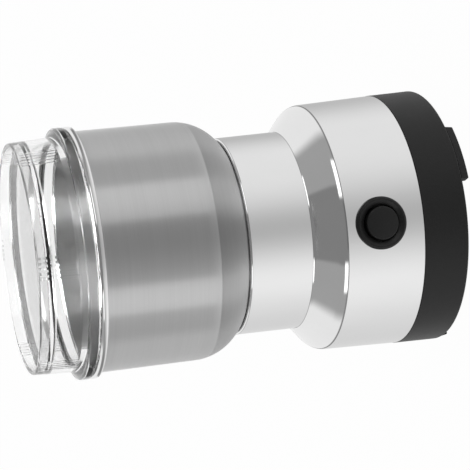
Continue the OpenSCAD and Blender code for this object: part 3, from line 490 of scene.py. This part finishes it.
def housing():
    slope = HOUSING_WALL * math.tan(math.radians(90 - CONE_ANGLE) / 2)
    inner_neck = NECK_TOP_R - HOUSING_WALL
    z_deck_low = Z_DECK - DECK_T
    shell = spun([(HOUSING_R, Z_BAND + PARTING, 0.12), (SHOULDER_R, Z_SHOULDER, SHOULDER_ROUND),
                  (NECK_R, Z_COVE, COVE_ROUND),
                  (NECK_TOP_R, Z_LIP, 0.8), (inner_neck, Z_LIP_IN, 0), (inner_neck, Z_DECK, 0),
                  (SHAFT_HOLE_R, Z_DECK, 0.3), (SHAFT_HOLE_R, z_deck_low, 0.3), (inner_neck, z_deck_low, 0),
                  (NECK_R - HOUSING_WALL, Z_COVE - slope, 0.5),
                  (SHOULDER_R - HOUSING_WALL, Z_SHOULDER - slope, SHOULDER_ROUND - HOUSING_WALL),
                  (HOUSING_R - HOUSING_WALL, Z_BAND + PARTING, 0)],
                 step=3)
    bosses = bmesh.new()
    for turn in BOSS_TURNS:
        away = boss_place(turn)
        rod(bosses, BOSS_R, (away.x, away.y, BOSS_LOW), (away.x, away.y, BOSS_HIGH))
        block(bosses, (BOSS_AT + BOSS_R - WEB_SUNK, -WEB_T / 2, BOSS_LOW),
              (WEB_END_R, WEB_T / 2, BOSS_HIGH), turn)
    hole = bmesh.new()
    rod(hole, SLEEVE_R + PRESS_GAP, (0, HOLE_FROM, Z_BUTTON), (0, HOLE_TO, Z_BUTTON), 96)
    made = carve(carve(shell, bosses, "UNION"), hole)
    return finished("polished_housing", made, polished_steel("housing_steel"),
                    "housing", "housing_shell")


# The steel bowl: a brushed cup, and a polished rim round its mouth
RIM_H = 2.8
ROLL_R = 0.9
BOWL_HOLE_R = 7.3
CUP_DOWN = 0.4


def bowl():
    inner = BOWL_R - BOWL_WALL
    z_roll = Z_RIM - RIM_H
    cup = spun([(BOWL_HOLE_R, Z_BOWL, 0), (BOWL_R, Z_BOWL, BOWL_ROUND), (BOWL_R, Z_RIM - CUP_DOWN, 0),
                (inner, Z_RIM - CUP_DOWN, 0), (inner, Z_BOWL + BOWL_WALL, BOWL_ROUND - BOWL_WALL),
                (BOWL_HOLE_R, Z_BOWL + BOWL_WALL, 0)], step=4)
    finished("steel_cup", cup, brushed_steel(), "housing", "bowl")
    roll = spun([(BOWL_R - 0.3, z_roll + 0.3, 0), (BOWL_R + 0.4, z_roll, 0.3), (RIM_R, z_roll, ROLL_R),
                 (RIM_R, Z_RIM, ROLL_R + 0.2), (inner + 0.05, Z_RIM, 0.4),
                 (inner + 0.05, Z_RIM - 0.6, 0)], step=8)
    return finished("rolled_rim", roll, polished_steel("rim_steel"), "housing", "bowl")


# The clear lid with its groups of grip ribs
LID_TOP_R = 42.3
LID_WALL_R = 43.1
LID_WALL = 1.5
LID_PLATE_T = 1.5
Z_LID_WALL = 144.8
FLANGE_R = 46.3
FLANGE_H = 4
FLANGE_SLOPE = 2
LID_RECESS = 3.6
SKIRT_H = 7.8
SKIRT_GAP = 0.35
GRIP_GROUPS = 6
GRIP_RIBS = 5
GRIP_TURN = 4
GRIP_STEP = math.degrees(1.8 / LID_WALL_R)
GRIP_OUT = 0.35
GRIP_W = 0.9


def grip_rib(bm, turn):
    """One rib down the lid's wall, with its foot sunk in the slope of the flange."""
    z_end = Z_LID_TOP - 0.8
    z_foot = Z_LID_WALL - 1
    line = [(LID_WALL_R - GRIP_OUT, z_foot), (LID_WALL_R + GRIP_OUT / 3, z_foot),
            (LID_WALL_R + GRIP_OUT, z_foot + 1), (LID_TOP_R + GRIP_OUT, z_end - 1),
            (LID_TOP_R + GRIP_OUT / 3, z_end), (LID_TOP_R - GRIP_OUT, z_end)]
    side = bm.faces.new([bm.verts.new((r * MM, -GRIP_W / 2 * MM, z * MM)) for r, z in line])
    grown = bmesh.ops.extrude_face_region(bm, geom=[side])["geom"]
    moved = [v for v in grown if isinstance(v, bmesh.types.BMVert)]
    bmesh.ops.translate(bm, verts=moved, vec=(0, GRIP_W * MM, 0))
    bmesh.ops.rotate(bm, cent=(0, 0, 0), matrix=Matrix.Rotation(math.radians(turn), 3, "Z"),
                     verts=list(side.verts) + moved)


def lid():
    skirt_r = BOWL_R - BOWL_WALL - SKIRT_GAP
    z_skirt = Z_LID - SKIRT_H
    inner_r = LID_TOP_R - LID_WALL
    z_plate = Z_LID_TOP - LID_RECESS
    shell = spun([(0, z_plate, 0), (inner_r, z_plate, 0.3), (inner_r, Z_LID_TOP, 0.8),
                  (LID_TOP_R, Z_LID_TOP, 0.8), (LID_WALL_R, Z_LID_WALL, 1),
                  (LID_WALL_R + FLANGE_SLOPE, Z_LID + FLANGE_H, 0.3), (FLANGE_R, Z_LID + FLANGE_H, 1.1),
                  (FLANGE_R, Z_LID, 0.7), (skirt_r, Z_LID, 0.2), (skirt_r, z_skirt, 0.6),
                  (skirt_r - LID_WALL, z_skirt, 0.6), (skirt_r - LID_WALL, Z_LID, 0.8),
                  (inner_r, z_plate - LID_PLATE_T, 0.95), (0, z_plate - LID_PLATE_T, 0)], closed=False)
    ribs = bmesh.new()
    for group in range(GRIP_GROUPS):
        for i in range(GRIP_RIBS):
            off = (i - (GRIP_RIBS - 1) / 2) * GRIP_STEP
            grip_rib(ribs, -90 - GRIP_TURN + group * 360 / GRIP_GROUPS + off)
    bmesh.ops.recalc_face_normals(ribs, faces=ribs.faces[:])
    return finished("clear_lid", carve(shell, ribs, "UNION"), clear_plastic(), "lid", "lid")


# The button: a dished bezel with its sleeve, and the cap, which stands proud of it
Y_BEZEL = -48.225
BEZEL_R = 9.5
LIP_R = 6.55
CAP_R = 6.0
LIP_L = 3.2
SLEEVE_L = 11.2
SLEEVE_IN_R = 7.3
SLEEVE_DOWN = 2.6
CAP_PROUD = 1.0


def on_button(bm):
    """Turns a piece made about Z, whose zero is the bezel's face, onto the button's axis."""
    turn = Matrix.Translation((0, Y_BEZEL * MM, Z_BUTTON * MM)) @ Matrix.Rotation(math.radians(-90), 4, "X")
    bmesh.ops.transform(bm, matrix=turn, verts=bm.verts[:])
    return bm


def bezel():
    ring = spun([(LIP_R, 1.0, 0.3), (8.6, 0, 0.7), (BEZEL_R, 0.7, 0.6), (BEZEL_R, LIP_L, 0),
                 (LIP_R, LIP_L, 0)], steps=128)
    inside = spun([(0, Z_BAND, 0), (HOUSING_R + SEAT_GAP / 4, Z_BAND, 0),
                   (SHOULDER_R + SEAT_GAP / 4, Z_SHOULDER, 0), (0, Z_SHOULDER, 0)], closed=False)
    ring = carve(on_button(ring), inside)
    sleeve = on_button(spun([(LIP_R, SLEEVE_DOWN, 0), (SLEEVE_R, SLEEVE_DOWN, 0), (SLEEVE_R, SLEEVE_L, 0),
                             (SLEEVE_IN_R, SLEEVE_L, 0), (SLEEVE_IN_R, LIP_L, 0), (LIP_R, LIP_L, 0)],
                            steps=128))
    return finished("dished_bezel", carve(ring, sleeve, "UNION"), finishes["button_bezel"], "housing",
                    "button_bezel")


def cap():
    body = spun([(0, -CAP_PROUD, 0), (3.6, -CAP_PROUD + 0.08, 0), (CAP_R, -CAP_PROUD + 0.35, 0.45),
                 (CAP_R, 3.5, 0), (7, 3.5, 0), (7, 5, 0), (2, 5, 0.3), (2, 9, 0.3), (0, 9, 0)],
                closed=False, steps=128)
    return finished("push_cap", on_button(body), finishes["button_cap"],
                    "button", "button_cap")


# The base: wall and floor in one, posts for the screws, vents, and the hole for the cord's bush
SPIGOT_R = 45.4
SPIGOT_T = 1.6
SPIGOT_H = 3.0
POST_R = 4.6
SCREW_SEAT = 2.4
HEAD_H = 2.2
VENTS = 20
VENT_AT = 12
VENT_L = 12
VENT_W = 2
BUSH_HOLE_R = 4.55
POST_HOLE_R = 1.95
HEAD_HOLE_R = 3.45


def base():
    shell = spun([(0, Z_BASE, 0), (BASE_R, Z_BASE, 0.8), (BASE_TOP_R, Z_BAND, 0.2), (SPIGOT_R, Z_BAND, 0),
                  (SPIGOT_R, Z_BAND + SPIGOT_H, 0.3), (SPIGOT_R - SPIGOT_T, Z_BAND + SPIGOT_H, 0.3),
                  (SPIGOT_R - SPIGOT_T, Z_BAND - SPIGOT_H + SPIGOT_T, 0), (BASE_IN_R, Z_BAND - SPIGOT_H, 0),
                  (BASE_IN_R, Z_FLOOR, 0.8), (0, Z_FLOOR, 0)], closed=False)
    posts = bmesh.new()
    holes = bmesh.new()
    recesses = bmesh.new()
    for turn in BOSS_TURNS:
        away = boss_place(turn)
        rod(posts, POST_R, (away.x, away.y, Z_BASE + 1.3), (away.x, away.y, Z_BAND + SPIGOT_H + 1))
        rod(holes, POST_HOLE_R, (away.x, away.y, 0), (away.x, away.y, Z_BAND + 8))
        rod(recesses, HEAD_HOLE_R, (away.x, away.y, 0), (away.x, away.y, Z_BASE + SCREW_SEAT + HEAD_H))
    rod(recesses, BUSH_HOLE_R, (0, BASE_IN_R - 2, Z_CORD), (0, BASE_R + 2, Z_CORD), 64)
    for i in range(VENTS):
        block(recesses, (VENT_AT, -VENT_W / 2, 0), (VENT_AT + VENT_L, VENT_W / 2, Z_FLOOR + 1),
              i * 360 / VENTS)
    made = carve(carve(carve(shell, posts, "UNION"), recesses), holes)
    return finished("base_moulding", made, finishes["base_cover"], "housing", "base_cover")


# The feet: three rubber arcs with soft edges
FEET = 3
FOOT_R = 47.75
FOOT_W = 4.6
FOOT_TAPER = 0.5
FOOT_ARC = 27
FOOT_TURN = 29
FOOT_EDGE = 0.55


def foot(turn):
    """One foot: a slice of a ring, with its edges rounded."""
    ring = spun([(FOOT_R - FOOT_W + FOOT_TAPER, 0, 0), (FOOT_R - FOOT_TAPER, 0, 0), (FOOT_R, Z_BASE, 0),
                 (FOOT_R - FOOT_W, Z_BASE, 0)], steps=180)
    wedge = bmesh.new()
    reach = 2 * FOOT_R * MM
    half = math.radians(FOOT_ARC / 2)
    far, side = reach * math.cos(half), reach * math.sin(half)
    low = wedge.faces.new([wedge.verts.new((x, y, -MM)) for x, y in ((0, 0), (far, -side), (far, side))])
    grown = bmesh.ops.extrude_face_region(wedge, geom=[low])["geom"]
    bmesh.ops.translate(wedge, verts=[v for v in grown if isinstance(v, bmesh.types.BMVert)],
                        vec=(0, 0, (Z_BASE + 2) * MM))
    bmesh.ops.recalc_face_normals(wedge, faces=wedge.faces[:])
    bmesh.ops.rotate(wedge, cent=(0, 0, 0), matrix=Matrix.Rotation(math.radians(turn), 3, "Z"),
                     verts=wedge.verts[:])
    made = carve(ring, wedge, "INTERSECT")
    bmesh.ops.dissolve_limit(made, angle_limit=math.radians(0.5), verts=made.verts[:], edges=made.edges[:])
    low_edges = [e for e in made.edges if len(e.link_faces) == 2 and e.calc_face_angle(0) > math.radians(50)
                 and min(v.co.z for v in e.verts) < (Z_BASE - 0.2) * MM]
    bmesh.ops.bevel(made, geom=low_edges, offset=FOOT_EDGE * MM, offset_type="OFFSET", segments=4,
                    profile=0.5, affect="EDGES", material=-1, clamp_overlap=True)
    return made


def feet():
    """All feet in one mesh, as their node has them."""
    whole = bmesh.new()
    for i in range(FEET):
        part = foot(-90 + FOOT_TURN + i * 360 / FEET)
        mesh = bpy.data.meshes.new("foot")
        part.to_mesh(mesh)
        part.free()
        whole.from_mesh(mesh)
        bpy.data.meshes.remove(mesh)
    return finished("rubber_feet", whole, finishes["feet"], "housing", "feet")


# The bush in the rear wall: its bore, its body and the flange inside the wall
BORE_R = 3
BUSH_R = 4.3
BUSH_FLANGE_R = 5
BUSH_IN = -1.6
BUSH_OUT = 1.8


def bush():
    """The rubber bush, with a rounded mouth."""
    body = spun([(BORE_R, BUSH_IN, 0.4), (BUSH_FLANGE_R, BUSH_IN, 0.3), (BUSH_FLANGE_R, -0.9, 0.3),
                 (BUSH_R, -0.2, 0), (BUSH_R, BUSH_OUT, 0.35), (BORE_R, BUSH_OUT, 0.6)], steps=96)
    turn = Matrix.Translation((0, BASE_IN_R * MM, Z_CORD * MM)) @ Matrix.Rotation(math.radians(-90), 4, "X")
    bmesh.ops.transform(body, matrix=turn, verts=body.verts[:])
    return finished("cord_grommet", body, finishes["cord_bush"], "housing", "cord_bush")


def spring():
    """The spring, taken from its solid. The real spring shortens as the button goes in; this one keeps the
    length of its solid.
    """
    solid = nodes["button_spring"]
    coil = bmesh.new()
    coil.from_mesh(solid.data)
    bmesh.ops.transform(coil, matrix=solid.matrix_world, verts=coil.verts[:])
    bmesh.ops.remove_doubles(coil, verts=coil.verts[:], dist=DOUBLES)
    bmesh.ops.recalc_face_normals(coil, faces=coil.faces[:])
    made = finished("press_spring", coil, finishes["button_spring"],
                    "housing", "button_spring", even=False)
    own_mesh(made)


# Every node's finish, by the name of the solid
steel = ((0.5, 0.5, 0.51), (0.72, 0.72, 0.73))
alloy = ((0.5, 0.5, 0.51), (0.68, 0.68, 0.69))
bronze = ((0.36, 0.24, 0.11), (0.62, 0.45, 0.24))
finishes = {
    "feet": rubber("foot_rubber", 0.014),
    "base_cover": black_plastic("base_plastic", 0.012, 0.4, (1800, 1800, 1800), 0.00003),
    "button_bezel": black_plastic("bezel_plastic", 0.01, 0.34, (2600, 2600, 2600), 0.00001),
    "button_cap": black_plastic("cap_plastic", 0.01, 0.38, (2600, 2600, 2600), 0.00002),
    "cord_bush": rubber("bush_rubber", 0.016),
    "bowl_gasket": rubber("gasket_rubber", 0.02),
    "shaft_seal": rubber("seal_rubber", 0.022),
    "rubber_mounts": rubber("mount_rubber", 0.018),
    "base_screws": worked_metal("base_screw_steel", *steel, 0.3, (200, 200, 3000)),
    "bowl_screws": worked_metal("bowl_screw_steel", *steel, 0.22, (700, 700, 500)),
    "motor_bolts": worked_metal("bolt_steel", (0.3, 0.29, 0.27), (0.56, 0.55, 0.52), 0.34, (200, 200, 3000)),
    "blade": worked_metal("blade_steel", (0.56, 0.56, 0.57), (0.76, 0.76, 0.77), 0.16, (2600, 120, 120)),
    "blade_spacer": worked_metal("spacer_steel", *steel, 0.24, (60, 60, 4000)),
    "blade_nut": worked_metal("nut_steel", *steel, 0.2, (900, 900, 260)),
    "motor_shaft": worked_metal("ground_steel", (0.58, 0.58, 0.59), (0.78, 0.78, 0.79), 0.12,
                                (40, 40, 5200)),
    "shaft_clip": worked_metal("clip_steel", (0.16, 0.16, 0.17), (0.36, 0.36, 0.37), 0.36, (800, 800, 800)),
    "button_spring": worked_metal("spring_steel", *steel, 0.24, (1500, 1500, 1500)),
    "brush_springs": worked_metal("brush_spring_steel", *steel, 0.26, (1500, 1500, 1500)),
    "motor_top_bracket": worked_metal("top_bracket_alloy", *alloy, 0.42, (420, 420, 420), 0.00004),
    "motor_bottom_bracket": worked_metal("bottom_bracket_alloy", *alloy, 0.42, (420, 420, 420), 0.00004),
    "upper_bearing": worked_metal("upper_bronze", *bronze, 0.34, (1800, 1800, 1800)),
    "lower_bearing": worked_metal("lower_bronze", *bronze, 0.34, (1800, 1800, 1800)),
    "thrust_washers": worked_metal("washer_bronze", (0.4, 0.27, 0.12), (0.66, 0.48, 0.26), 0.3,
                                   (1200, 1200, 200)),
    "brush_holders": worked_metal("holder_brass", (0.52, 0.37, 0.14), (0.78, 0.6, 0.28), 0.26,
                                  (160, 1800, 160)),
    "switch_terminals": worked_metal("tab_brass", (0.52, 0.37, 0.14), (0.8, 0.63, 0.3), 0.24,
                                     (1800, 160, 160)),
    "commutator": worked_metal("bar_copper", (0.4, 0.16, 0.08), (0.75, 0.4, 0.24), 0.24, (60, 60, 4200)),
    "armature_core": stacked_sheets("armature_sheets"),
    "stator_core": stacked_sheets("stator_sheets"),
    "armature_windings": wound_copper("armature_wire", "Z"),
    "field_coils": wound_copper("coil_wire", "X"),
    "cooling_fan": moulding("fan_plastic", (0.42, 0.41, 0.36), (0.66, 0.65, 0.6), 0.38),
    "switch_body": moulding("switch_plastic", (0.012, 0.012, 0.012), (0.03, 0.03, 0.031), 0.4),
    "switch_plunger": moulding("plunger_plastic", (0.3, 0.02, 0.012), (0.55, 0.045, 0.025), 0.26),
    "terminal_block": moulding("block_plastic", (0.5, 0.47, 0.38), (0.76, 0.73, 0.66), 0.34),
    "thermal_cutout": moulding("cutout_sleeve", (0.46, 0.43, 0.34), (0.7, 0.66, 0.56), 0.5),
    "suppression_capacitor": moulding("capacitor_plastic", (0.42, 0.3, 0.05), (0.7, 0.53, 0.1), 0.28),
    "lead_wires": moulding("wire_sleeve", (0.16, 0.015, 0.01), (0.34, 0.035, 0.022), 0.36, 700),
    "carbon_brushes": pressed_carbon("brush_carbon"),
}
for name, finish in finishes.items():
    slots = nodes[name].data.materials
    slots.clear()
    slots.append(finish)

housing()
bowl()
lid()
bezel()
cap()
base()
feet()
bush()
spring()


# The studio: a pale floor and a soft room that only the steel mirrors in detail
FLOOR_SIDE = 6.0
FLOOR_DROP = 0.00005


def studio_floor():
    bm = bmesh.new()
    bmesh.ops.create_grid(bm, x_segments=1, y_segments=1, size=FLOOR_SIDE / 2,
                          matrix=Matrix.Translation((0, 0, -FLOOR_DROP)))
    floor = bare("floor", bm)
    f = new_finish("floor_paper")
    ray = f.node("ShaderNodeLightPath", output="Is Camera Ray")
    through = f.node("ShaderNodeLightPath", output="Is Transmission Ray")
    fibres = f.noise((300, 300, 300), 3, 0.6)
    paper = f.node("ShaderNodeBsdfPrincipled", None,
                   {"Base Color": f.tint(grey(0.86), grey(0.9), fibres), "Roughness": 0.9})
    glow = f.node("ShaderNodeEmission", None, {"Color": (1, 1, 1, 1), "Strength": 1.0})
    seen = ray.math("MAXIMUM", through) * 0.98
    mixed = f.node("ShaderNodeMixShader", None, {0: seen, 1: paper, 2: glow})
    f.node("ShaderNodeOutputMaterial", None, {"Surface": mixed})
    floor.data.materials.append(f.owner)
    floor.visible_glossy = False


def studio_light():
    """The room that the steel mirrors, drawn by the surface that mirrors each way to the camera."""
    world = bpy.data.worlds.new("studio")
    scene.world = world
    f = Finish(world)
    split = f.node("ShaderNodeSeparateXYZ", None, {0: f.node("ShaderNodeTexCoord", output="Generated")})
    x, y, z = (Wire(f, split.socket.node.outputs[i]) for i in range(3))
    ahead = math.cos(LOOK_DOWN) - y
    facing = x.math("ARCTAN2", ahead) * math.degrees(1)
    lean = (z + math.sin(LOOK_DOWN)).math("ARCTAN2", (x * x + ahead * ahead) ** 0.5) * math.degrees(1)
    side = abs(facing)
    # Low down the steel mirrors the table, darker in front and at the far sides
    table = 0.89 - f.hump(facing, 2.5, 16) * 0.38 + f.hump(facing, -27, 13) * 0.1
    table = table - facing.rise(50, 78) * 0.34 - facing.fall(-70, -32) * 0.14
    # Higher up it mirrors the room, with a dark edge at the table and two bright boxes
    room = 0.24 + side.rise(17.5, 20) * 0.15 + side.rise(43, 52) * 0.53
    room = room + lean.rise(55, 70) * (0.85 - room)
    edge = 0.26 - side.fall(9, 14) * 0.1
    boxes = f.band(facing, 13, 31) + f.band(facing, -32, -17.5)
    upper = edge + lean.rise(8, 12) * (room - edge) + boxes * f.band(lean, 8, 20) * 1.4
    light = table + lean.rise(1.5, 3.5) * (upper - table)
    # Light that leaves the lid after a reflection draws the stripes on the bowl's far inner wall
    inside = 0.6 + lean.rise(10, 18) * (f.band(facing, 5, 31) * 5 + f.band(facing, -29, -16) * 9 - 0.6)
    camera_ray = f.node("ShaderNodeLightPath", output="Is Camera Ray")
    through = f.node("ShaderNodeLightPath", output="Is Transmission Ray")
    mirrored = f.node("ShaderNodeLightPath", output="Glossy Depth")
    straight = camera_ray.math("MAXIMUM", through * mirrored.math("LESS_THAN", 0.5))
    level = light + straight * (1 - light)
    level = level + through * mirrored.math("GREATER_THAN", 0.5) * (inside - level)
    colour = f.node("ShaderNodeCombineColor", None, {0: level, 1: level, 2: level})
    shader = f.node("ShaderNodeBackground", None, {"Color": colour, "Strength": 1.0})
    f.node("ShaderNodeOutputWorld", None, {"Surface": shader})


studio_floor()
studio_light()
